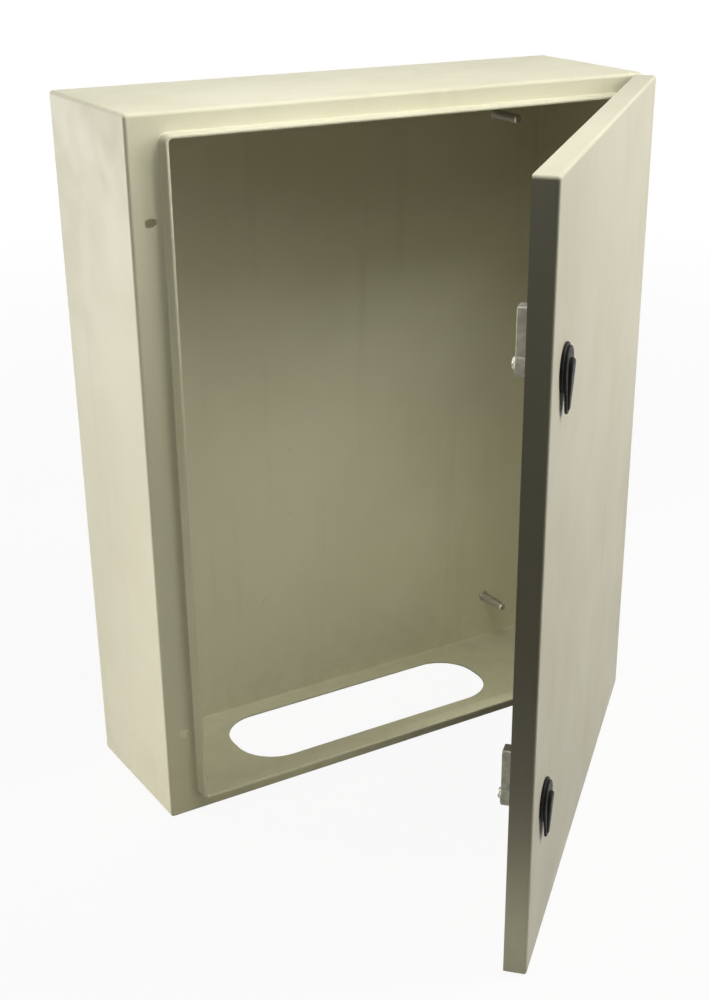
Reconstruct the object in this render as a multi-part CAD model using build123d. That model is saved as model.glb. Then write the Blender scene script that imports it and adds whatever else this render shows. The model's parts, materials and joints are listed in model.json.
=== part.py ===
from build123d import *
import os

# Wall-mounted sheet-steel enclosure with a hinged door and two quarter-turn locks.
# Millimetres. Origin at the middle of the wall face, X to the right as seen from
# the front, Y into the wall, Z up. The door is drawn shut and then swung open.

# Cabinet sheet and folds
cabinet_height = 600.0
cabinet_width = 490.0
cabinet_depth = 145.0
cabinet_sheet = 1.5
cabinet_fold = 3.0

# Front rim: a flange round the front and a hemmed rain lip round the mouth
side_rim = 26.5
end_rim = 15.5
lip_height = 12.0
lip_thickness = 3.0
lip_hem_share = 0.45
mouth_corner = 3.0
gutter_fillet = 1.0
lip_root_fillet = 2.0

# Cable gland opening in the bottom wall, with its plate left off
gland_length = 276.0
gland_width = 86.0
gland_corner = 38.0
gland_from_wall = 22.0
gland_shift = -3.0

# Wall fixing holes
wall_hole_diameter = 9.0
wall_hole_inset = 30.0

# Mounting plate studs, welded to the back wall
stud_inset_x = 55.0
stud_inset_z = 50.0
stud_diameter = 8.0
stud_length = 36.0
stud_collar_diameter = 11.0
stud_collar_height = 1.5
stud_collar_edge = 0.7
stud_chamfer = 1.0

# Door pan
door_open_angle = 42.5
door_depth = 18.0
door_gap = 4.0
door_margin = 1.0
door_sheet = 1.5
door_fold = 2.5
gasket_width = 9.0
gasket_edge = 2.0

# Concealed hinges, in the gutter on the right
hinge_from_end = 100.0
hinge_inset = 9.0
hinge_behind_face = 7.5
hinge_leaf_length = 60.0
hinge_notch_margin = 4.0
middle_knuckle_length = 18.0
end_knuckle_length = 10.0
pin_diameter = 4.0
pin_head_diameter = 7.0
pin_head_height = 1.5
pin_tail = 1.0
foot_thickness = 2.5
foot_reach = 15.5
foot_overhang = 6.0
arm_inner = 2.0
arm_outer = 7.0
arm_fillet = 1.5
door_leaf_thickness = 1.5
door_leaf_reach = 13.0

# Hinge fixings
hinge_bolt_diameter = 6.0
hinge_bolt_offset = 20.0
hinge_bolt_inset = 16.4
hinge_bolt_head_diameter = 10.5
hinge_bolt_head_height = 3.3
hinge_bolt_head_edge = 1.5
hinge_bolt_socket = 4.0
hinge_bolt_socket_depth = 2.0
hinge_bolt_tail = 2.0
hinge_slot_length = 10.0
hinge_slot_width = 7.0
hinge_nut_flats = 10.0
hinge_nut_height = 5.0
hinge_washer_diameter = 14.0
hinge_washer_thickness = 1.6
locating_pip_diameter = 4.6
locating_hole_diameter = 5.0
locating_pip_offset = 8.0
locating_pip_inset = 9.6
leaf_stud_diameter = 4.0
leaf_stud_length = 8.0
leaf_stud_inset = 17.5
leaf_stud_spacing = 50.0
leaf_nut_flats = 7.0
leaf_nut_height = 3.2

# Quarter-turn locks
lock_from_end = 132.5
lock_from_edge = 44.0
lock_barrel_diameter = 18.0
lock_barrel_flats = 15.5
lock_flange_diameter = 34.0
lock_flange_thickness = 1.6
lock_flange_edge = 0.8
lock_seal_thickness = 0.8
lock_seal_diameter = 30.0
lock_nut_flats = 22.0
lock_nut_height = 5.0
spindle_diameter = 9.86
tang_width = 6.6
handle_hub_radius = 15.0
handle_tip_radius = 7.0
handle_length = 32.0
handle_plate = 1.8
handle_plate_edge = 0.8
handle_rib_height = 3.0
handle_rib_tip_height = 1.0
handle_rib_hub_radius = 7.0
handle_rib_tip_radius = 4.0
handle_rib_edge = 1.5
cam_length = 40.0
cam_hub_radius = 9.0
cam_width = 13.0
cam_corner = 2.0
cam_edge = 0.8
cam_thickness = 7.5
cam_screw_diameter = 5.0
cam_screw_length = 10.0
cam_screw_head_diameter = 8.6
cam_screw_head_height = 2.8
cam_screw_head_edge = 1.2
cam_screw_slot_width = 1.2
cam_screw_slot_depth = 1.2

# Clearances
running_fit = 0.07
free_fit = 0.3
thread_fit = 0.1
gasket_clearance = 0.4
cam_clearance = 0.6
cut_margin = 1.0
same_place = 0.01

# Planes and places worked out from the sizes above
half_width = cabinet_width / 2
half_height = cabinet_height / 2
flange_face = -cabinet_depth
flange_back = flange_face + cabinet_sheet
lip_front = flange_face - lip_height
mouth_width = cabinet_width - 2 * (side_rim + lip_thickness)
mouth_height = cabinet_height - 2 * (end_rim + lip_thickness)
gland_y = -(gland_from_wall + gland_width / 2)
stud_spacing_x = cabinet_width - 2 * stud_inset_x
stud_spacing_z = cabinet_height - 2 * stud_inset_z
hinge_height = half_height - hinge_from_end
door_width = cabinet_width - 2 * door_margin
door_height = cabinet_height - 2 * door_margin
door_edge = flange_face - door_gap
door_face = door_edge - door_depth
door_inner = door_face + door_sheet
pin_x = half_width - hinge_inset
pin_y = door_face + hinge_behind_face
pin_radius = pin_diameter / 2
knuckle_radius = hinge_behind_face - door_sheet - door_leaf_thickness - free_fit
door_leaf_right = door_width / 2 - door_fold - free_fit
hinge_axis = Axis((pin_x, pin_y, 0), (0, 0, 1))
leaf_stud_x = half_width - leaf_stud_inset
lock_x = -door_width / 2 + lock_from_edge
lock_height = half_height - lock_from_end
lock_flange_top = lock_seal_thickness + lock_flange_thickness
handle_base = lock_flange_top + free_fit
cam_top = door_face - flange_back - cam_clearance
barrel_end = cam_top + free_fit
spindle_radius = spindle_diameter / 2


def front_plane(y, x=0.0, z=0.0):
    """Plane facing the front, at depth y: its own x is X, its own y is Z."""
    return Plane((x, y, z), x_dir=(1, 0, 0), z_dir=(0, -1, 0))


def rod(radius, x, z, y_start, y_end):
    """Cylinder along Y between two depths."""
    return extrude(front_plane(y_start, x, z) * Circle(radius), amount=y_start - y_end)


def washer(diameter, hole, x, z, y_start, thickness):
    """Flat washer that lies on the plane y_start and grows towards the front."""
    ring = Circle(diameter / 2) - Circle(hole / 2)
    return extrude(front_plane(y_start, x, z) * ring, amount=thickness)


def hex_nut(flats, thread, x, z, y_start, height):
    """Hexagon nut that lies on the plane y_start and grows towards the front."""
    face = RegularPolygon(flats / 2, 6, major_radius=False) - Circle(thread / 2 + thread_fit)
    return extrude(front_plane(y_start, x, z) * face, amount=height)


def corner_points(spacing_x, spacing_z):
    """The four corners of a rectangle round the middle."""
    return [(sx * spacing_x / 2, sz * spacing_z / 2) for sx in (-1, 1) for sz in (-1, 1)]


def edges_at_depth(part, y, width, height):
    """Edges in the plane at depth y that lie inside a width by height frame."""
    chosen = []
    for edge in part.edges().filter_by_position(Axis.Y, y - same_place, y + same_place):
        box = edge.bounding_box()
        flat = box.size.Y < same_place
        reach_x = max(abs(box.min.X), abs(box.max.X))
        reach_z = max(abs(box.min.Z), abs(box.max.Z))
        inside = reach_x < width / 2 + same_place and reach_z < height / 2 + same_place
        if flat and inside:
            chosen.append(edge)
    return chosen


# Cabinet


def folded_box():
    """Closed hollow box with folded edges."""
    middle = Pos(0, -cabinet_depth / 2, 0)
    outside = middle * Box(cabinet_width, cabinet_depth, cabinet_height)
    outside = fillet(outside.edges(), cabinet_fold)
    hollow_width = cabinet_width - 2 * cabinet_sheet
    hollow_height = cabinet_height - 2 * cabinet_sheet
    hollow = middle * Box(hollow_width, cabinet_depth - 2 * cabinet_sheet, hollow_height)
    hollow = fillet(hollow.edges(), cabinet_fold - cabinet_sheet)
    return outside - hollow


def mouth_with_lip(box):
    """Cuts the mouth through the front flange and folds the lip forward round it."""
    mouth = RectangleRounded(mouth_width, mouth_height, mouth_corner)
    lip_width = mouth_width + 2 * lip_thickness
    lip_length = mouth_height + 2 * lip_thickness
    lip_outline = RectangleRounded(lip_width, lip_length, mouth_corner + lip_thickness)
    cut = extrude(front_plane(flange_back + cut_margin) * mouth, amount=cabinet_sheet + 2 * cut_margin)
    lip = extrude(front_plane(flange_back) * (lip_outline - mouth), amount=cabinet_sheet + lip_height)
    rim = box - cut + lip
    rim = fillet(edges_at_depth(rim, lip_front, lip_width, lip_length), lip_hem_share * lip_thickness)
    rim = fillet(edges_at_depth(rim, flange_back, mouth_width, mouth_height), lip_root_fillet)
    return fillet(edges_at_depth(rim, flange_face, lip_width, lip_length), gutter_fillet)


def gland_cut():
    """Opening in the bottom wall."""
    below = Pos(gland_shift, gland_y, -half_height - cut_margin)
    outline = RectangleRounded(gland_length, gland_width, gland_corner)
    return extrude(below * outline, amount=cabinet_sheet + 2 * cut_margin)


def wall_hole_cut():
    """Four holes through the back wall."""
    radius = wall_hole_diameter / 2
    places = corner_points(cabinet_width - 2 * wall_hole_inset, cabinet_height - 2 * wall_hole_inset)
    return [rod(radius, x, z, cut_margin, -cabinet_sheet - cut_margin) for x, z in places]


def hinge_hole_cut():
    """Bolt slots in both side flanges, and locating holes for the leaves on the right."""
    cuts = []
    top = flange_back + cut_margin
    depth = cabinet_sheet + 2 * cut_margin
    for end in (-1, 1):
        for side in (-1, 1):
            slot_x = side * (half_width - hinge_bolt_inset)
            slot_z = end * (hinge_height + hinge_bolt_offset)
            slot = SlotOverall(hinge_slot_length, hinge_slot_width)
            cuts.append(extrude(front_plane(top, slot_x, slot_z) * slot, amount=depth))
        hole_x = half_width - locating_pip_inset
        hole_z = end * (hinge_height + locating_pip_offset)
        cuts.append(rod(locating_hole_diameter / 2, hole_x, hole_z, top, top - depth))
    return cuts


def cabinet_shell():
    """Folded and welded box with its rim and all its holes."""
    shell = mouth_with_lip(folded_box())
    return shell - gland_cut() - wall_hole_cut() - hinge_hole_cut()


def mounting_stud(x, z):
    """Weld stud on the back wall, with the collar that the weld leaves at its foot."""
    root = -cabinet_sheet
    collar = rod(stud_collar_diameter / 2, x, z, root, root - stud_collar_height)
    collar = fillet(collar.edges().group_by(Axis.Y)[0], stud_collar_edge)
    shank = rod(stud_diameter / 2, x, z, root, root - stud_length)
    shank = chamfer(shank.edges().group_by(Axis.Y)[0], stud_chamfer)
    return collar + shank


# Door


def door_pan():
    """Folded pan, open at the back."""
    middle_y = (door_face + door_edge) / 2
    pan = Pos(0, middle_y, 0) * Box(door_width, door_depth, door_height)
    front = pan.edges().filter_by_position(Axis.Y, door_face - cut_margin, door_edge - cut_margin)
    pan = fillet(front, door_fold)
    cavity_depth = door_depth - door_sheet + cut_margin
    cavity_width = door_width - 2 * door_sheet
    cavity_height = door_height - 2 * door_sheet
    cavity = Pos(0, door_inner + cavity_depth / 2, 0) * Box(cavity_width, cavity_depth, cavity_height)
    inner = cavity.edges().filter_by_position(Axis.Y, door_inner - cut_margin, door_edge - cut_margin)
    return pan - fillet(inner, door_fold - door_sheet)


def hinge_notch(end):
    """Gap in the door's hinge-side return, where the cabinet leaf passes as the door opens."""
    height = hinge_leaf_length + 2 * hinge_notch_margin
    width = door_fold + cut_margin
    depth = door_depth - door_fold + cut_margin
    notch_x = door_width / 2 - door_fold + width / 2
    notch_y = door_face + door_fold + depth / 2
    return Pos(notch_x, notch_y, end * hinge_height) * Box(width, depth, height)


def leaf_stud(z):
    """Weld stud on the door's inner face that holds a door leaf."""
    root = door_face + door_sheet / 2
    return rod(leaf_stud_diameter / 2, leaf_stud_x, z, door_inner + leaf_stud_length, root)


def barrel_outline(clearance):
    """Round outline with two flats, which keeps the lock from turning in the door."""
    round_outline = Circle(lock_barrel_diameter / 2 + clearance)
    return round_outline & Rectangle(lock_barrel_flats + 2 * clearance, lock_barrel_diameter * 2)


def leaf_stud_heights():
    """Heights of the four weld studs, two for each hinge."""
    return [end * hinge_height + side * leaf_stud_spacing / 2 for end in (1, -1) for side in (1, -1)]


def door_panel():
    """Folded pan with its hinge notches, lock holes and weld studs."""
    panel = door_pan()
    for end in (1, -1):
        panel -= hinge_notch(end)
        lock_plane = front_plane(door_inner + cut_margin, lock_x, end * lock_height)
        panel -= extrude(lock_plane * barrel_outline(free_fit), amount=door_sheet + 2 * cut_margin)
    for z in leaf_stud_heights():
        panel += leaf_stud(z)
    return panel


def door_gasket():
    """Foam strip on the door's inner face, in line with the lip."""
    line_width = mouth_width + lip_thickness
    line_height = mouth_height + lip_thickness
    outer_corner = mouth_corner + (lip_thickness + gasket_width) / 2
    outline = RectangleRounded(line_width + gasket_width, line_height + gasket_width, outer_corner)
    opening = Rectangle(line_width - gasket_width, line_height - gasket_width)
    top = lip_front - gasket_clearance
    strip = extrude(front_plane(top) * (outline - opening), amount=top - door_inner)
    return fillet(strip.edges().group_by(Axis.Y)[-1], gasket_edge)


def door_leaf_nut(z):
    """Nut on a weld stud, over the door leaf."""
    seat = door_inner + door_leaf_thickness + leaf_nut_height
    return hex_nut(leaf_nut_flats, leaf_stud_diameter, leaf_stud_x, z, seat, leaf_nut_height)


# Hinges


def leaf_block(left, right, back, front, length, z):
    """Upright block between two X and two Y limits, centred on height z."""
    middle = Pos((left + right) / 2, (back + front) / 2, z)
    return middle * Box(right - left, back - front, length)


def upright_rod(radius, z_low, length):
    """Cylinder on the hinge axis."""
    return extrude(Pos(pin_x, pin_y, z_low) * Circle(radius), amount=length)


def cabinet_leaf(end):
    """Foot on the flange with an arm that carries the middle knuckle."""
    z = end * hinge_height
    foot_front = flange_face - foot_thickness
    left = pin_x - foot_reach
    right = pin_x + foot_overhang
    foot = leaf_block(left, right, flange_face, foot_front, hinge_leaf_length, z)
    arm = leaf_block(pin_x - arm_outer, pin_x - arm_inner, foot_front, pin_y, middle_knuckle_length, z)
    low = z - middle_knuckle_length / 2
    knuckle = upright_rod(knuckle_radius, low, middle_knuckle_length)
    leaf = foot + arm + knuckle
    upright = leaf.edges().filter_by(Axis.Z)
    root = upright.filter_by_position(Axis.Y, foot_front - same_place, foot_front + same_place)
    leaf = fillet([e for e in root if e.length < middle_knuckle_length + cut_margin], arm_fillet)
    bore = upright_rod(pin_radius + running_fit, low - cut_margin, middle_knuckle_length + 2 * cut_margin)
    bolt_x = half_width - hinge_bolt_inset
    bolt_z = end * (hinge_height + hinge_bolt_offset)
    hole_radius = hinge_bolt_diameter / 2 + free_fit
    hole = rod(hole_radius, bolt_x, bolt_z, flange_face + cut_margin, foot_front - cut_margin)
    pip_x = half_width - locating_pip_inset
    pip_z = end * (hinge_height + locating_pip_offset)
    pip = rod(locating_pip_diameter / 2, pip_x, pip_z, flange_back, foot_front)
    return leaf - bore - hole + pip


def door_leaf(end):
    """Plate on the door's inner face with the two end knuckles."""
    z = end * hinge_height
    top = door_inner + door_leaf_thickness
    left = pin_x - door_leaf_reach
    leaf = leaf_block(left, door_leaf_right, top, door_inner, hinge_leaf_length, z)
    start = middle_knuckle_length / 2 + free_fit
    for side in (1, -1):
        low = z + (start if side > 0 else -start - end_knuckle_length)
        knuckle_z = low + end_knuckle_length / 2
        cheek_left = pin_x - knuckle_radius
        cheek_right = pin_x + knuckle_radius
        leaf += leaf_block(cheek_left, cheek_right, pin_y, door_inner, end_knuckle_length, knuckle_z)
        leaf += upright_rod(knuckle_radius, low, end_knuckle_length)
    leaf -= upright_rod(pin_radius + running_fit, z - hinge_leaf_length / 2, hinge_leaf_length)
    for side in (1, -1):
        hole_z = z + side * leaf_stud_spacing / 2
        hole_radius = leaf_stud_diameter / 2 + thread_fit
        leaf -= rod(hole_radius, leaf_stud_x, hole_z, top + cut_margin, door_inner - cut_margin)
    return leaf


def hinge_pin(end):
    """Headed pin dropped through the three knuckles."""
    reach = middle_knuckle_length / 2 + free_fit + end_knuckle_length
    z = end * hinge_height
    shank = upright_rod(pin_radius, z - reach - pin_tail, 2 * reach + pin_tail)
    return shank + upright_rod(pin_head_diameter / 2, z + reach, pin_head_height)


def hinge_bolt(end):
    """Button-head bolt through a cabinet leaf and the flange."""
    x = half_width - hinge_bolt_inset
    z = end * (hinge_height + hinge_bolt_offset)
    seat = flange_face - foot_thickness
    grip = foot_thickness + cabinet_sheet + hinge_washer_thickness + hinge_nut_height + hinge_bolt_tail
    head = rod(hinge_bolt_head_diameter / 2, x, z, seat, seat - hinge_bolt_head_height)
    head = fillet(head.edges().group_by(Axis.Y)[0], hinge_bolt_head_edge)
    shank = rod(hinge_bolt_diameter / 2, x, z, seat + grip, seat)
    top = seat - hinge_bolt_head_height
    socket_plane = front_plane(top + hinge_bolt_socket_depth, x, z)
    socket = socket_plane * RegularPolygon(hinge_bolt_socket / 2, 6, major_radius=False)
    return head + shank - extrude(socket, amount=hinge_bolt_socket_depth + cut_margin)


def hinge_washer(end):
    """Washer behind the flange."""
    x = half_width - hinge_bolt_inset
    z = end * (hinge_height + hinge_bolt_offset)
    seat = flange_back + hinge_washer_thickness
    hole = hinge_bolt_diameter + 2 * free_fit
    return washer(hinge_washer_diameter, hole, x, z, seat, hinge_washer_thickness)


def hinge_nut(end):
    """Nut behind the flange."""
    x = half_width - hinge_bolt_inset
    z = end * (hinge_height + hinge_bolt_offset)
    seat = flange_back + hinge_washer_thickness + hinge_nut_height
    return hex_nut(hinge_nut_flats, hinge_bolt_diameter, x, z, seat, hinge_nut_height)


# Locks, drawn round their own axis: x to the right, y up, z out of the door's face


def disc(sketch, low, high):
    """Solid of a flat outline between two heights over the door's face."""
    return extrude(Pos(0, 0, low) * sketch, amount=high - low)


def lever_outline(hub_radius, tip_radius, length):
    """Two circles with straight sides, the smaller one at the end of the length along y."""
    tip_y = length - tip_radius if length > 0 else length + tip_radius
    tip = Pos(0, tip_y) * Circle(tip_radius)
    return make_hull((Circle(hub_radius) + tip).edges())


def lock_housing():
    """Escutcheon with the flatted barrel that passes through the door."""
    flange = disc(Circle(lock_flange_diameter / 2), lock_seal_thickness, lock_flange_top)
    flange = fillet(flange.edges().group_by(Axis.Z)[-1], lock_flange_edge)
    barrel = disc(barrel_outline(0.0), barrel_end, lock_seal_thickness)
    bore = disc(Circle(spindle_radius + running_fit), barrel_end - cut_margin, lock_flange_top + cut_margin)
    return flange + barrel - bore


def lock_seal():
    """Flat seal between the escutcheon and the door."""
    ring = Circle(lock_seal_diameter / 2) - Circle(lock_barrel_diameter / 2 + free_fit)
    return disc(ring, 0.0, lock_seal_thickness)


def lock_nut():
    """Hexagon nut on the barrel, against the door's inner face."""
    face = RegularPolygon(lock_nut_flats / 2, 6, major_radius=False, rotation=30)
    face -= Circle(lock_barrel_diameter / 2 + thread_fit)
    return disc(face, -door_sheet - lock_nut_height, -door_sheet)


def lock_handle():
    """Thumb-turn that hangs down when unlocked, with its spindle and square tang."""
    plate_top = handle_base + handle_plate
    outline = lever_outline(handle_hub_radius, handle_tip_radius, -handle_length)
    plate = disc(outline, handle_base, plate_top)
    plate = fillet(plate.edges().group_by(Axis.Z)[-1], handle_plate_edge)
    rib_length = handle_length - handle_plate_edge - handle_rib_edge
    rib_outline = lever_outline(handle_rib_hub_radius, handle_rib_tip_radius, -rib_length)
    rib = disc(rib_outline, handle_base, plate_top + handle_rib_height)
    rise = handle_rib_height - handle_rib_tip_height
    run = handle_rib_hub_radius + rib_length
    slope = Plane((0, -rib_length, plate_top + handle_rib_tip_height), z_dir=(0, -rise, run))
    rib = split(rib, bisect_by=slope, keep=Keep.BOTTOM)
    rib = fillet(rib.faces().sort_by(Axis.Z)[-1].edges(), handle_rib_edge)
    spindle = disc(Circle(spindle_radius), cam_top, handle_base)
    tang = disc(Rectangle(tang_width, tang_width), cam_top - cam_thickness + thread_fit, cam_top)
    hole_low = cam_top - cam_thickness
    hole = disc(Circle(cam_screw_diameter / 2), hole_low, hole_low + cam_screw_length + cut_margin)
    return plate + rib + spindle + tang - hole


def lock_cam():
    """Thick cast tongue on the tang, upright when unlocked."""
    tongue = Pos(0, cam_length / 2) * RectangleRounded(cam_width, cam_length, cam_corner)
    low = cam_top - cam_thickness
    cam = disc(Circle(cam_hub_radius) + tongue, low, cam_top)
    cam = fillet(cam.edges().group_by(Axis.Z)[0], cam_edge)
    hole = Rectangle(tang_width + 2 * thread_fit, tang_width + 2 * thread_fit)
    return cam - disc(hole, low - cut_margin, cam_top + cut_margin)


def cam_screw():
    """Slotted screw that holds the cam on the tang."""
    seat = cam_top - cam_thickness
    low = seat - cam_screw_head_height
    head = disc(Circle(cam_screw_head_diameter / 2), low, seat)
    head = fillet(head.edges().group_by(Axis.Z)[0], cam_screw_head_edge)
    shank = disc(Circle(cam_screw_diameter / 2 - running_fit), seat, seat + cam_screw_length)
    slot = Rectangle(cam_screw_head_diameter + cut_margin, cam_screw_slot_width)
    return head + shank - disc(slot, low - cut_margin, low + cam_screw_slot_depth)


def on_door(part, end):
    """Puts a lock piece on its axis in the shut door."""
    return front_plane(door_face, lock_x, end * lock_height).location * part


def swung(part):
    """Turns a piece of the shut door about the hinge axis to its open place."""
    return part.rotate(hinge_axis, door_open_angle)


def group(parts):
    """Several separate like pieces in one node."""
    return Compound(children=list(parts))


# Nodes

stud_places = corner_points(stud_spacing_x, stud_spacing_z)
nodes = {
    "cabinet_shell": cabinet_shell(),
    "mounting_studs": group(mounting_stud(x, z) for x, z in stud_places),
    "hinge_bolts": group(hinge_bolt(end) for end in (1, -1)),
    "hinge_washers": group(hinge_washer(end) for end in (1, -1)),
    "hinge_nuts": group(hinge_nut(end) for end in (1, -1)),
    "door_panel": swung(door_panel()),
    "door_gasket": swung(door_gasket()),
    "door_leaf_nuts": group(swung(door_leaf_nut(z)) for z in leaf_stud_heights()),
}
for name, end in (("upper", 1), ("lower", -1)):
    nodes[f"{name}_cabinet_leaf"] = cabinet_leaf(end)
    nodes[f"{name}_door_leaf"] = swung(door_leaf(end))
    nodes[f"{name}_hinge_pin"] = swung(hinge_pin(end))
    nodes[f"{name}_lock_housing"] = swung(on_door(lock_housing(), end))
    nodes[f"{name}_lock_seal"] = swung(on_door(lock_seal(), end))
    nodes[f"{name}_lock_nut"] = swung(on_door(lock_nut(), end))
    nodes[f"{name}_lock_handle"] = swung(on_door(lock_handle(), end))
    nodes[f"{name}_lock_cam"] = swung(on_door(lock_cam(), end))
    nodes[f"{name}_cam_screw"] = swung(on_door(cam_screw(), end))

os.makedirs("parts", exist_ok=True)
for node, part in nodes.items():
    export_step(part, f"parts/{node}.step")
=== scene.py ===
import json
import math

import bmesh
import bpy
from mathutils import Matrix, Vector, noise


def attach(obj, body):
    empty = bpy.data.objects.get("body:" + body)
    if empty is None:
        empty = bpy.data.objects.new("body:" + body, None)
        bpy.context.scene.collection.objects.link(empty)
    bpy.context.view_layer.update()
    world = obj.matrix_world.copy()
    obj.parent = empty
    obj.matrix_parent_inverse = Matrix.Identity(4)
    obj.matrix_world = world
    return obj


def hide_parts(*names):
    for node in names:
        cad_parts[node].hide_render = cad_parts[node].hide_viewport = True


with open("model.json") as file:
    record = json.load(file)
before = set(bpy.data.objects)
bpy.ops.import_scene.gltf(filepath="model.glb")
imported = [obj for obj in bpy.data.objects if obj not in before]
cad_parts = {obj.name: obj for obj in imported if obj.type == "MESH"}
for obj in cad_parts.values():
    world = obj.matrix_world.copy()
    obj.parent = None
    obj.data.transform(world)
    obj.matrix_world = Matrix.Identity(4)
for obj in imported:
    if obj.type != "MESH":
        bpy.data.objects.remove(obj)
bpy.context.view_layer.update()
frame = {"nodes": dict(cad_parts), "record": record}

# Looks of the wall enclosure: painted sheet, zinc hardware, black handles and a foam seal.
# Metres, in the frame of the solids: X right, Y into the wall, Z up.

nodes = frame["nodes"]
record = frame["record"]
joints = {j["name"]: j for j in record["behaviour"]["joints"]}

MM = 0.001
FLOOR_Z = -0.3003  # just under the bottom wall
FLOOR_HALF = 14.0
CORNER_STEPS = 6  # per round corner of the foam bead's line
MAP_SOCKETS = ("From Min", "From Max", "To Min", "To Max")


def rgb(red, green, blue):
    return (red, green, blue, 1.0)


def show(obj):
    bpy.context.scene.collection.objects.link(obj)


# Node helpers


class Tree:
    """An emptied node tree, with short calls to fill it."""

    def __init__(self, owner):
        owner.use_nodes = True
        self.tree = owner.node_tree
        self.tree.nodes.clear()

    def add(self, kind, **settings):
        node = self.tree.nodes.new(kind)
        for key, value in settings.items():
            setattr(node, key, value)
        return node

    def join(self, source, target):
        self.tree.links.new(source, target)

    def feed(self, target, value):
        """Links a socket, or sets a constant on it."""
        if isinstance(value, bpy.types.NodeSocket):
            self.join(value, target)
        else:
            target.default_value = value

    def ramp(self, value, span, result, curve):
        """Takes a value from one span to another."""
        node = self.add("ShaderNodeMapRange", interpolation_type=curve)
        self.join(value, node.inputs["Value"])
        for key, number in zip(MAP_SOCKETS, (*span, *result)):
            node.inputs[key].default_value = number
        return node.outputs["Result"]

    def math(self, operation, a, b):
        node = self.add("ShaderNodeMath", operation=operation)
        self.feed(node.inputs[0], a)
        self.feed(node.inputs[1], b)
        return node.outputs[0]

    def blend(self, factor, a, b):
        """A colour between two."""
        node = self.add("ShaderNodeMix", data_type="RGBA")
        self.feed(node.inputs["Factor"], factor)
        self.feed(node.inputs["A"], a)
        self.feed(node.inputs["B"], b)
        return node.outputs["Result"]

    def coloured(self, kind, colour):
        """A shader node that only needs its colour."""
        node = self.add(kind)
        self.feed(node.inputs["Color"], colour)
        return node

    def either(self, factor, first, second):
        """A mix of two shader nodes."""
        node = self.add("ShaderNodeMixShader")
        self.join(factor, node.inputs[0])
        self.join(first.outputs[0], node.inputs[1])
        self.join(second.outputs[0], node.inputs[2])
        return node

    def seen_rays(self):
        """1 for rays that show the background: from the camera, in reflections, through gaps."""
        path = self.add("ShaderNodeLightPath")
        total = path.outputs["Is Camera Ray"]
        for key in ("Is Glossy Ray", "Is Transmission Ray"):
            total = self.math("MAXIMUM", total, path.outputs[key])
        return total


class Finish(Tree):
    """A material with one Principled shader, textured in the object's own coordinates."""

    def __init__(self, name):
        self.mat = bpy.data.materials.new(name)
        super().__init__(self.mat)
        out = self.add("ShaderNodeOutputMaterial")
        self.shader = self.add("ShaderNodeBsdfPrincipled")
        self.join(self.shader.outputs[0], out.inputs["Surface"])
        self.place = self.add("ShaderNodeTexCoord").outputs["Object"]

    def set(self, key, value):
        self.feed(self.shader.inputs[key], value)

    def stretched(self, scale):
        node = self.add("ShaderNodeMapping")
        self.join(self.place, node.inputs["Vector"])
        node.inputs["Scale"].default_value = scale
        return node.outputs["Vector"]

    def noise(self, scale, detail=2.0, rough=0.5, vector=None):
        node = self.add("ShaderNodeTexNoise")
        self.join(vector or self.place, node.inputs["Vector"])
        node.inputs["Scale"].default_value = scale
        node.inputs["Detail"].default_value = detail
        node.inputs["Roughness"].default_value = rough
        return node.outputs["Fac"]

    def cells(self, scale):
        node = self.add("ShaderNodeTexVoronoi")
        self.join(self.place, node.inputs["Vector"])
        node.inputs["Scale"].default_value = scale
        return node.outputs["Distance"]

    def remap(self, value, low, high, to_low=0.0, to_high=1.0):
        return self.ramp(value, (low, high), (to_low, to_high), "SMOOTHSTEP")

    def bump(self, height, strength, distance, normal=None):
        node = self.add("ShaderNodeBump")
        self.join(height, node.inputs["Height"])
        node.inputs["Strength"].default_value = strength
        node.inputs["Distance"].default_value = distance
        if normal:
            self.join(normal, node.inputs["Normal"])
        return node.outputs["Normal"]

    def z_of(self, vector):
        node = self.add("ShaderNodeSeparateXYZ")
        self.join(vector, node.inputs[0])
        return node.outputs[2]

    def edges(self, radius):
        """1 along sharp edges and 0 on flat faces."""
        flat, sharp = 0.995, 0.90  # cosines between the true and the softened normal
        soft = self.add("ShaderNodeBevel", samples=6)
        soft.inputs["Radius"].default_value = radius
        hard = self.add("ShaderNodeNewGeometry")
        dot = self.add("ShaderNodeVectorMath", operation="DOT_PRODUCT")
        self.join(soft.outputs["Normal"], dot.inputs[0])
        self.join(hard.outputs["Normal"], dot.inputs[1])
        return self.remap(dot.outputs["Value"], flat, sharp)

    def upward(self):
        """1 on faces that look up."""
        sloping, level = 0.75, 0.98
        geometry = self.add("ShaderNodeNewGeometry")
        return self.remap(self.z_of(geometry.outputs["Normal"]), sloping, level)


# Materials


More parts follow.
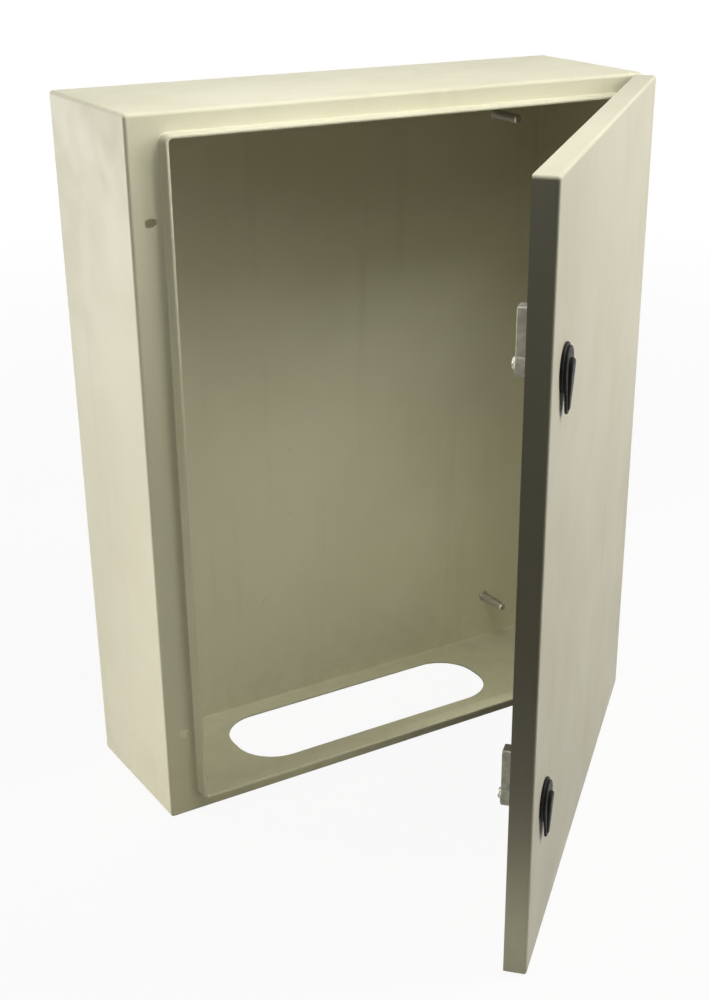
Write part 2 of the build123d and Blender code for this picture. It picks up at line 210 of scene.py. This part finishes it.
def cream_paint():
    """Semi-matt cream powder coat with orange peel, edges lightened as rubbed paint and as a
    painted highlight, dust and handling marks.
    """
    g = Finish("cream_paint")
    tone = g.remap(g.noise(6.0, 4.0, 0.55), 0.35, 0.65)
    colour = g.blend(tone, rgb(0.655, 0.622, 0.498), rgb(0.690, 0.660, 0.540))
    grain = g.remap(g.noise(1100.0, 1.0), 0.30, 0.70)
    colour = g.blend(g.math("MULTIPLY", grain, 0.05), colour, rgb(0.50, 0.47, 0.36))
    upright = g.noise(1.0, 3.0, 0.6, g.stretched((38.0, 38.0, 3.0)))
    streaks = g.remap(upright, 0.56, 0.78, 0.0, 0.14)
    colour = g.blend(streaks, colour, rgb(0.44, 0.41, 0.30))
    # Patchy darkening towards the bottom, below about z = -0.20 m.
    low = g.remap(g.z_of(g.place), -0.20, -0.30)
    patches = g.remap(g.noise(55.0, 5.0, 0.65), 0.42, 0.72, 0.0, 0.14)
    darker_low = g.math("MULTIPLY", low, patches)
    colour = g.blend(darker_low, colour, rgb(0.36, 0.32, 0.20))
    dots = g.remap(g.cells(95.0), 0.070, 0.045)
    specks = g.math("MULTIPLY", dots, g.remap(g.noise(9.0, 2.0), 0.56, 0.66))
    colour = g.blend(g.math("MULTIPLY", specks, 0.55), colour, rgb(0.22, 0.20, 0.14))
    # Lighter edges: paint rubbed thin, and partly a painted highlight that lightens the shaded
    # folds.
    rubbed = g.remap(g.noise(60.0, 4.0, 0.6), 0.45, 0.62, 0.25, 0.75)
    rubbed_and_lit_edge = g.math("MULTIPLY", g.edges(0.0016), rubbed)
    colour = g.blend(g.math("MULTIPLY", rubbed_and_lit_edge, 0.35), colour, rgb(0.78, 0.76, 0.66))
    settled = g.remap(g.noise(22.0, 5.0, 0.6), 0.40, 0.70, 0.05, 0.30)
    dust = g.math("MULTIPLY", g.upward(), settled)
    colour = g.blend(dust, colour, rgb(0.60, 0.57, 0.47))
    g.set("Base Color", colour)
    rough = g.remap(g.noise(14.0, 4.0, 0.6), 0.30, 0.70, 0.50, 0.64)
    g.set("Roughness", g.math("ADD", rough, g.math("MULTIPLY", dust, 0.35)))
    g.set("Specular IOR Level", 0.25)
    peel = g.bump(g.noise(420.0, 2.0, 0.5), 0.16, 0.0005)
    fine = g.bump(g.noise(1500.0, 1.0, 0.5), 0.10, 0.0002, peel)
    g.set("Normal", g.bump(g.noise(3.2, 1.0), 0.10, 0.004, fine))
    return g.mat


def plated_steel(name, base, tint, rough_low, rough_high, grain):
    """Plated steel with a clouded passivation film, fine scratches and rubbed edges."""
    g = Finish(name)
    cloud = g.remap(g.noise(120.0, 5.0, 0.6), 0.35, 0.68)
    colour = g.blend(cloud, base, tint)
    stain = g.remap(g.noise(420.0, 4.0, 0.7), 0.60, 0.75, 0.0, 0.55)
    colour = g.blend(stain, colour, rgb(0.25, 0.22, 0.17))
    colour = g.blend(g.math("MULTIPLY", g.edges(0.0004), 0.5), colour, rgb(0.62, 0.61, 0.56))
    g.set("Base Color", colour)
    g.set("Metallic", 1.0)
    g.set("Roughness", g.remap(g.noise(300.0, 4.0, 0.65), 0.30, 0.70, rough_low, rough_high))
    scratch = g.noise(1.0, 2.0, 0.6, g.stretched(grain))
    fine = g.bump(scratch, 0.12, 0.0002)
    g.set("Normal", g.bump(g.noise(900.0, 3.0), 0.10, 0.0002, fine))
    return g.mat


def zinc_fastener():
    """Zinc-plated turned parts, scratched round their axis."""
    base, tint = rgb(0.47, 0.46, 0.40), rgb(0.55, 0.535, 0.46)
    return plated_steel("zinc_fastener", base, tint, 0.43, 0.60, grain=(900.0, 90.0, 900.0))


def hinge_steel():
    """Duller plated strip, with its grain upright."""
    base, tint = rgb(0.36, 0.36, 0.33), rgb(0.45, 0.44, 0.40)
    return plated_steel("hinge_steel", base, tint, 0.36, 0.55, grain=(900.0, 900.0, 70.0))


def lock_zinc():
    """Dull zinc casting with small pits and edges rubbed bright."""
    g = Finish("lock_zinc")
    cloud = g.remap(g.noise(150.0, 5.0, 0.6), 0.35, 0.68)
    colour = g.blend(cloud, rgb(0.20, 0.195, 0.155), rgb(0.27, 0.265, 0.215))
    pits = g.remap(g.noise(700.0, 3.0, 0.7), 0.62, 0.76, 0.0, 0.5)
    colour = g.blend(pits, colour, rgb(0.12, 0.115, 0.09))
    colour = g.blend(g.math("MULTIPLY", g.edges(0.0006), 0.7), colour, rgb(0.50, 0.49, 0.43))
    g.set("Base Color", colour)
    g.set("Metallic", 1.0)
    g.set("Roughness", g.remap(g.noise(350.0, 4.0, 0.6), 0.30, 0.70, 0.40, 0.58))
    g.set("Normal", g.bump(g.noise(1200.0, 3.0), 0.14, 0.0002))
    return g.mat


def handle_black():
    """Moulded black plastic with a fine grain and edges gone grey from use."""
    g = Finish("handle_black")
    tone = g.remap(g.noise(160.0, 4.0, 0.6), 0.35, 0.68)
    colour = g.blend(tone, rgb(0.007, 0.007, 0.006), rgb(0.014, 0.0135, 0.011))
    patches = g.remap(g.noise(260.0, 4.0, 0.6), 0.42, 0.62, 0.15, 0.85)
    worn = g.math("MULTIPLY", g.edges(0.0007), patches)
    colour = g.blend(g.math("MULTIPLY", worn, 0.55), colour, rgb(0.050, 0.048, 0.040))
    g.set("Base Color", colour)
    g.set("Roughness", g.remap(g.noise(210.0, 4.0, 0.6), 0.30, 0.70, 0.42, 0.60))
    g.set("Specular IOR Level", 0.14)
    g.set("Normal", g.bump(g.noise(2400.0, 2.0), 0.20, 0.00015))
    return g.mat


def seal_rubber():
    """Flat black rubber with a dusty bloom."""
    g = Finish("seal_rubber")
    bloom = g.remap(g.noise(180.0, 5.0, 0.65), 0.40, 0.72)
    colour = g.blend(bloom, rgb(0.020, 0.020, 0.020), rgb(0.055, 0.053, 0.048))
    g.set("Base Color", colour)
    g.set("Roughness", g.remap(g.noise(90.0, 3.0), 0.30, 0.70, 0.70, 0.88))
    g.set("Normal", g.bump(g.noise(1800.0, 2.0), 0.25, 0.0002))
    return g.mat


def gasket_foam():
    """Foamed-in-place grey seal with a closed skin and small pores."""
    g = Finish("gasket_foam")
    tone = g.remap(g.noise(40.0, 4.0, 0.6), 0.35, 0.68)
    colour = g.blend(tone, rgb(0.060, 0.060, 0.058), rgb(0.095, 0.094, 0.090))
    pores = g.remap(g.cells(900.0), 0.24, 0.12)
    colour = g.blend(g.math("MULTIPLY", pores, 0.5), colour, rgb(0.022, 0.022, 0.021))
    g.set("Base Color", colour)
    g.set("Roughness", g.remap(g.noise(130.0, 3.0), 0.30, 0.70, 0.72, 0.92))
    skin = g.bump(g.cells(900.0), 0.35, 0.0004)
    g.set("Normal", g.bump(g.noise(260.0, 3.0), 0.30, 0.0006, skin))
    return g.mat


finishes = {
    "cream_paint": cream_paint(),
    "zinc_fastener": zinc_fastener(),
    "hinge_steel": hinge_steel(),
    "lock_zinc": lock_zinc(),
    "handle_black": handle_black(),
    "seal_rubber": seal_rubber(),
    "gasket_foam": gasket_foam(),
}


def finish_with(obj, slot_name):
    """Gives an object one finish in its only slot."""
    obj.data.materials.clear()
    obj.data.materials.append(finishes[slot_name])


for subpart in record["subparts"]:
    finish_with(nodes[subpart["node"]], subpart["material_slot"])


# Added pieces


def mesh_of(bm, name):
    mesh = bpy.data.meshes.new(name)
    bm.to_mesh(mesh)
    bm.free()
    return mesh


def new_piece(name, mesh, body, slot_name):
    obj = bpy.data.objects.new(name, mesh)
    show(obj)
    finish_with(obj, slot_name)
    for face in mesh.polygons:
        face.use_smooth = True
    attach(obj, body)
    return obj


def bridge(bm, ring, following):
    """Faces between two closed rings of points."""
    count = len(ring)
    for k in range(count):
        after = (k + 1) % count
        bm.faces.new((ring[k], ring[after], following[after], following[k]))


def swing():
    """The door's turn from shut to its place in the photo."""
    joint = joints["door_hinge"]
    pin = Vector(joint["pos_m"])
    angle = -math.radians(joint["range_deg"][0])
    turn = Matrix.Rotation(angle, 4, "Z")
    return Matrix.Translation(pin) @ turn @ Matrix.Translation(-pin)


def rounded_loop(width, height, radius, step):
    """Points and outward directions round a rectangle with round corners, in X and Z."""
    half_w = width / 2 - radius
    half_h = height / 2 - radius
    corners = [(half_w, half_h), (-half_w, half_h), (-half_w, -half_h), (half_w, -half_h)]
    points = []
    for index, (cx, cz) in enumerate(corners):
        for k in range(CORNER_STEPS + 1):
            angle = math.radians(90 * index + 90 / CORNER_STEPS * k)
            out = Vector((math.cos(angle), 0, math.sin(angle)))
            points.append((Vector((cx, 0, cz)) + radius * out, out))
        nx, nz = corners[(index + 1) % len(corners)]
        first = points[-1][0]
        last = Vector((nx, 0, nz)) + radius * out
        count = max(1, round((last - first).length / step))
        points += [(first.lerp(last, k / count), out) for k in range(1, count)]
    return points


def foam_seal():
    """Poured foam bead on the door's inner face: a low, uneven dome with a lap where it ends."""
    inner_face = -165.5 * MM
    half_width = 4.2 * MM
    height = 7.55 * MM
    sides = 12
    coarse, fine = 38.0, 120.0  # scales of the unevenness
    lap = Vector((-60.0 * MM, 0, -283.0 * MM))
    lap_reach = 7.0 * MM
    lap_swell = 0.03
    bm = bmesh.new()
    rings = []
    for place, out in rounded_loop(434.0 * MM, 566.0 * MM, radius=6.0 * MM, step=3.0 * MM):
        wave = noise.noise(place * coarse) + 0.5 * noise.noise(place * fine)
        near = math.exp(-((place - lap).length / lap_reach) ** 2)
        wide = half_width * (1.0 + 0.035 * wave + lap_swell * near)
        tall = height * (1.0 + 0.025 * wave + lap_swell * near)
        ring = []
        for k in range(sides + 1):
            angle = math.pi * k / sides
            across = math.copysign(abs(math.cos(angle)) ** 0.75, math.cos(angle)) * wide
            rise = math.sin(angle) ** 0.8 * tall
            spot = place + out * across
            ring.append(bm.verts.new((spot.x, inner_face + rise, spot.z)))
        rings.append(ring)
    for index, ring in enumerate(rings):
        bridge(bm, ring, rings[(index + 1) % len(rings)])
    bmesh.ops.recalc_face_normals(bm, faces=bm.faces)
    bm.transform(swing())
    seal = new_piece("foam_seal", mesh_of(bm, "foam_seal"), "door", "gasket_foam")
    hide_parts("door_gasket")


def thread(bm, x, z):
    """One rolled thread round a stud's axis."""
    pitch = 1.25 * MM
    root = 3.97 * MM
    crest = 4.14 * MM
    start = -4.5 * MM
    steps = 24  # per turn
    last = 25 * steps
    run_out = 10  # steps in which it fades at its ends
    foot, land = 0.46 * pitch, 0.08 * pitch  # half widths
    rows = []
    for k in range(last + 1):
        angle = 2 * math.pi * k / steps
        y = start - pitch * k / steps
        fade = min(1.0, k / run_out, (last - k) / run_out)
        top = root + (crest - root) * fade
        row = []
        for shift, radius in ((foot, root), (land, top), (-land, top), (-foot, root)):
            across, up = radius * math.cos(angle), radius * math.sin(angle)
            row.append(bm.verts.new((x + across, y + shift, z + up)))
        rows.append(row)
    for row, following in zip(rows, rows[1:]):
        bridge(bm, row, following)
    bm.faces.new(rows[0])
    bm.faces.new(rows[-1][::-1])


def stud_threads():
    """Rolled threads on the mounting studs, from the weld collar to the tip."""
    studs = next(m for m in record["mounts"] if m["name"] == "plate_studs")["dims"]
    half_x = studs["spacing_x_mm"] / 2 * MM
    half_z = studs["spacing_y_mm"] / 2 * MM
    bm = bmesh.new()
    for x in (-half_x, half_x):
        for z in (-half_z, half_z):
            thread(bm, x, z)
    bmesh.ops.recalc_face_normals(bm, faces=bm.faces)
    new_piece("stud_threads", mesh_of(bm, "stud_threads"), "cabinet", "zinc_fastener")


foam_seal()
stud_threads()


# Stage: floor, light and camera


def floor():
    """Pale floor that the camera sees as white, with a soft shadow."""
    bm = bmesh.new()
    corners = ((-1, -1), (1, -1), (1, 1), (-1, 1))
    bm.faces.new([bm.verts.new((sx * FLOOR_HALF, sy * FLOOR_HALF, FLOOR_Z)) for sx, sy in corners])
    obj = bpy.data.objects.new("floor", mesh_of(bm, "floor"))
    show(obj)
    mat = bpy.data.materials.new("floor")
    t = Tree(mat)
    out = t.add("ShaderNodeOutputMaterial")
    place = t.add("ShaderNodeTexCoord").outputs["Object"]

    def by_distance(x, y, near, near_value, far, far_value):
        """A value that changes with the distance from a point of the floor."""
        reach = t.add("ShaderNodeVectorMath", operation="DISTANCE")
        t.join(place, reach.inputs[0])
        reach.inputs[1].default_value = (x, y, FLOOR_Z)
        return t.ramp(reach.outputs["Value"], (near, far), (near_value, far_value), "LINEAR")

    # Seen: white, with a little shadow near the object
    pale = t.coloured("ShaderNodeBsdfDiffuse", rgb(0.85, 0.85, 0.84))
    glow = t.coloured("ShaderNodeEmission", rgb(1, 1, 1))
    white = t.either(by_distance(0.0, -0.2, 0.9, 0.93, 2.4, 1.0), pale, glow)
    # For light on the object: dark, but for a patch on its left
    patch = by_distance(-0.45, -0.15, 0.15, 1.0, 0.45, 0.0)
    shade = t.blend(patch, rgb(0.07, 0.067, 0.05), rgb(0.75, 0.73, 0.60))
    bounce = t.coloured("ShaderNodeBsdfDiffuse", shade)
    t.join(t.either(t.seen_rays(), bounce, white).outputs[0], out.inputs["Surface"])
    obj.data.materials.append(mat)


def surroundings():
    """White for the camera and for reflections, dim for the light on the object."""
    world = bpy.data.worlds.new("studio")
    bpy.context.scene.world = world
    t = Tree(world)
    out = t.add("ShaderNodeOutputWorld")
    dim = t.coloured("ShaderNodeBackground", rgb(1.0, 0.95, 0.60))
    dim.inputs["Strength"].default_value = 0.02
    white = t.coloured("ShaderNodeBackground", rgb(1.0, 1.0, 1.0))
    white.inputs["Strength"].default_value = 1.0
    t.join(t.either(t.seen_rays(), dim, white).outputs[0], out.inputs["Surface"])


def lamp(name, place, aim, size, watts, colour, tall=1.0, body=None):
    """Soft box that the camera doesn't see, for everything or for one body's pieces.

    It is square, or higher than wide by the factor tall.
    """
    data = bpy.data.lights.new(name, "AREA")
    data.shape = "RECTANGLE"
    data.size = size
    data.size_y = size * tall
    data.energy = watts
    data.color = colour
    obj = bpy.data.objects.new(name, data)
    obj.location = place
    obj.rotation_euler = (Vector(aim) - Vector(place)).to_track_quat("-Z", "Y").to_euler()
    obj.visible_camera = False
    show(obj)
    if body:
        lit = bpy.data.collections.new(name)
        for node_name in record["behaviour"]["bodies"][body]:
            lit.objects.link(nodes[node_name])
        obj.light_linking.receiver_collection = lit


def lamps():
    """Light from above, in the mouth, on the left side and on the door."""
    lamp("inside_low", place=(-0.05, -0.50, 0.60), aim=(0.05, 0.0, -0.10),
         size=0.25, watts=0.42, colour=(0.97, 1.0, 0.84), body="cabinet")
    lamp("over_left", place=(-0.25, -0.40, 0.90), aim=(-0.10, -0.10, 0.0),
         size=0.30, watts=0.55, colour=(0.98, 1.0, 0.90))
    lamp("over_right", place=(0.19, -0.55, 0.85), aim=(0.0, -0.05, -0.10),
         size=0.35, watts=1.00, colour=(0.98, 1.0, 0.88))
    lamp("over_door", place=(0.25, -0.86, 1.27), aim=(0.0, -0.05, -0.05),
         size=0.40, watts=2.6, colour=(0.98, 1.0, 0.90))
    lamp("flange_left", place=(-0.25, -0.40, 0.74), aim=(-0.20, -0.14, 0.10),
         size=0.20, watts=1.0, colour=(0.97, 1.0, 0.90))
    lamp("mouth", place=(-0.03, -0.30, 0.02), aim=(-0.02, -0.05, 0.02),
         size=0.15, watts=0.036, colour=(0.96, 1.0, 0.74), body="cabinet")
    lamp("mouth_right", place=(0.08, -0.22, -0.15), aim=(0.10, -0.06, -0.28),
         size=0.10, watts=0.085, colour=(0.96, 1.0, 0.78), body="cabinet")
    lamp("rim_low", place=(-0.12, -0.30, -0.27), aim=(-0.13, -0.145, -0.275),
         size=0.20, watts=0.055, colour=(0.98, 1.0, 0.78), tall=0.25, body="cabinet")
    lamp("top", place=(-0.15, 0.35, 1.30), aim=(-0.10, -0.05, 0.30),
         size=0.60, watts=3.3, colour=(0.94, 0.96, 1.0))
    lamp("back_left", place=(-2.4, 2.4, -0.1), aim=(-0.2, 0.0, -0.1),
         size=0.40, watts=101.0, colour=(1.0, 0.99, 0.93))
    lamp("left_strip", place=(-0.42, -0.165, -0.06), aim=(-0.20, -0.155, -0.06),
         size=0.06, watts=0.18, colour=(0.98, 1.0, 0.84), tall=9.0, body="cabinet")
    lamp("right", place=(1.6, -1.0, 0.45), aim=(0.1, -0.3, 0.0),
         size=1.0, watts=7.6, colour=(1.0, 0.985, 0.94))
    lamp("right_high", place=(1.2, -0.85, 0.85), aim=(0.1, -0.35, 0.0),
         size=0.80, watts=12.5, colour=(1.0, 0.985, 0.94))
    lamp("low_left", place=(-0.20, -0.56, -0.27), aim=(-0.13, -0.495, -0.28),
         size=0.06, watts=0.036, colour=(1.0, 1.0, 0.85), body="door")


def camera():
    """Camera at the photo's viewpoint, as fitted to the object's edges."""
    eye = Vector((-0.71531, -1.25419, 0.47852))
    right = Vector((0.832503, -0.553914, 0.010884))
    up = Vector((0.227764, 0.360093, 0.904686))
    ahead = Vector((0.505038, 0.750675, -0.425940))
    data = bpy.data.cameras.new("camera")
    data.sensor_width = 36.0
    data.lens = 57.28
    data.shift_x = -0.0803
    data.shift_y = 0.0935
    obj = bpy.data.objects.new("camera", data)
    turn = Matrix((right, up, -ahead)).transposed().to_4x4()
    obj.matrix_world = Matrix.Translation(eye) @ turn
    show(obj)
    bpy.context.scene.camera = obj


floor()
surroundings()
lamps()
camera()
bpy.context.scene.view_settings.view_transform = "Standard"
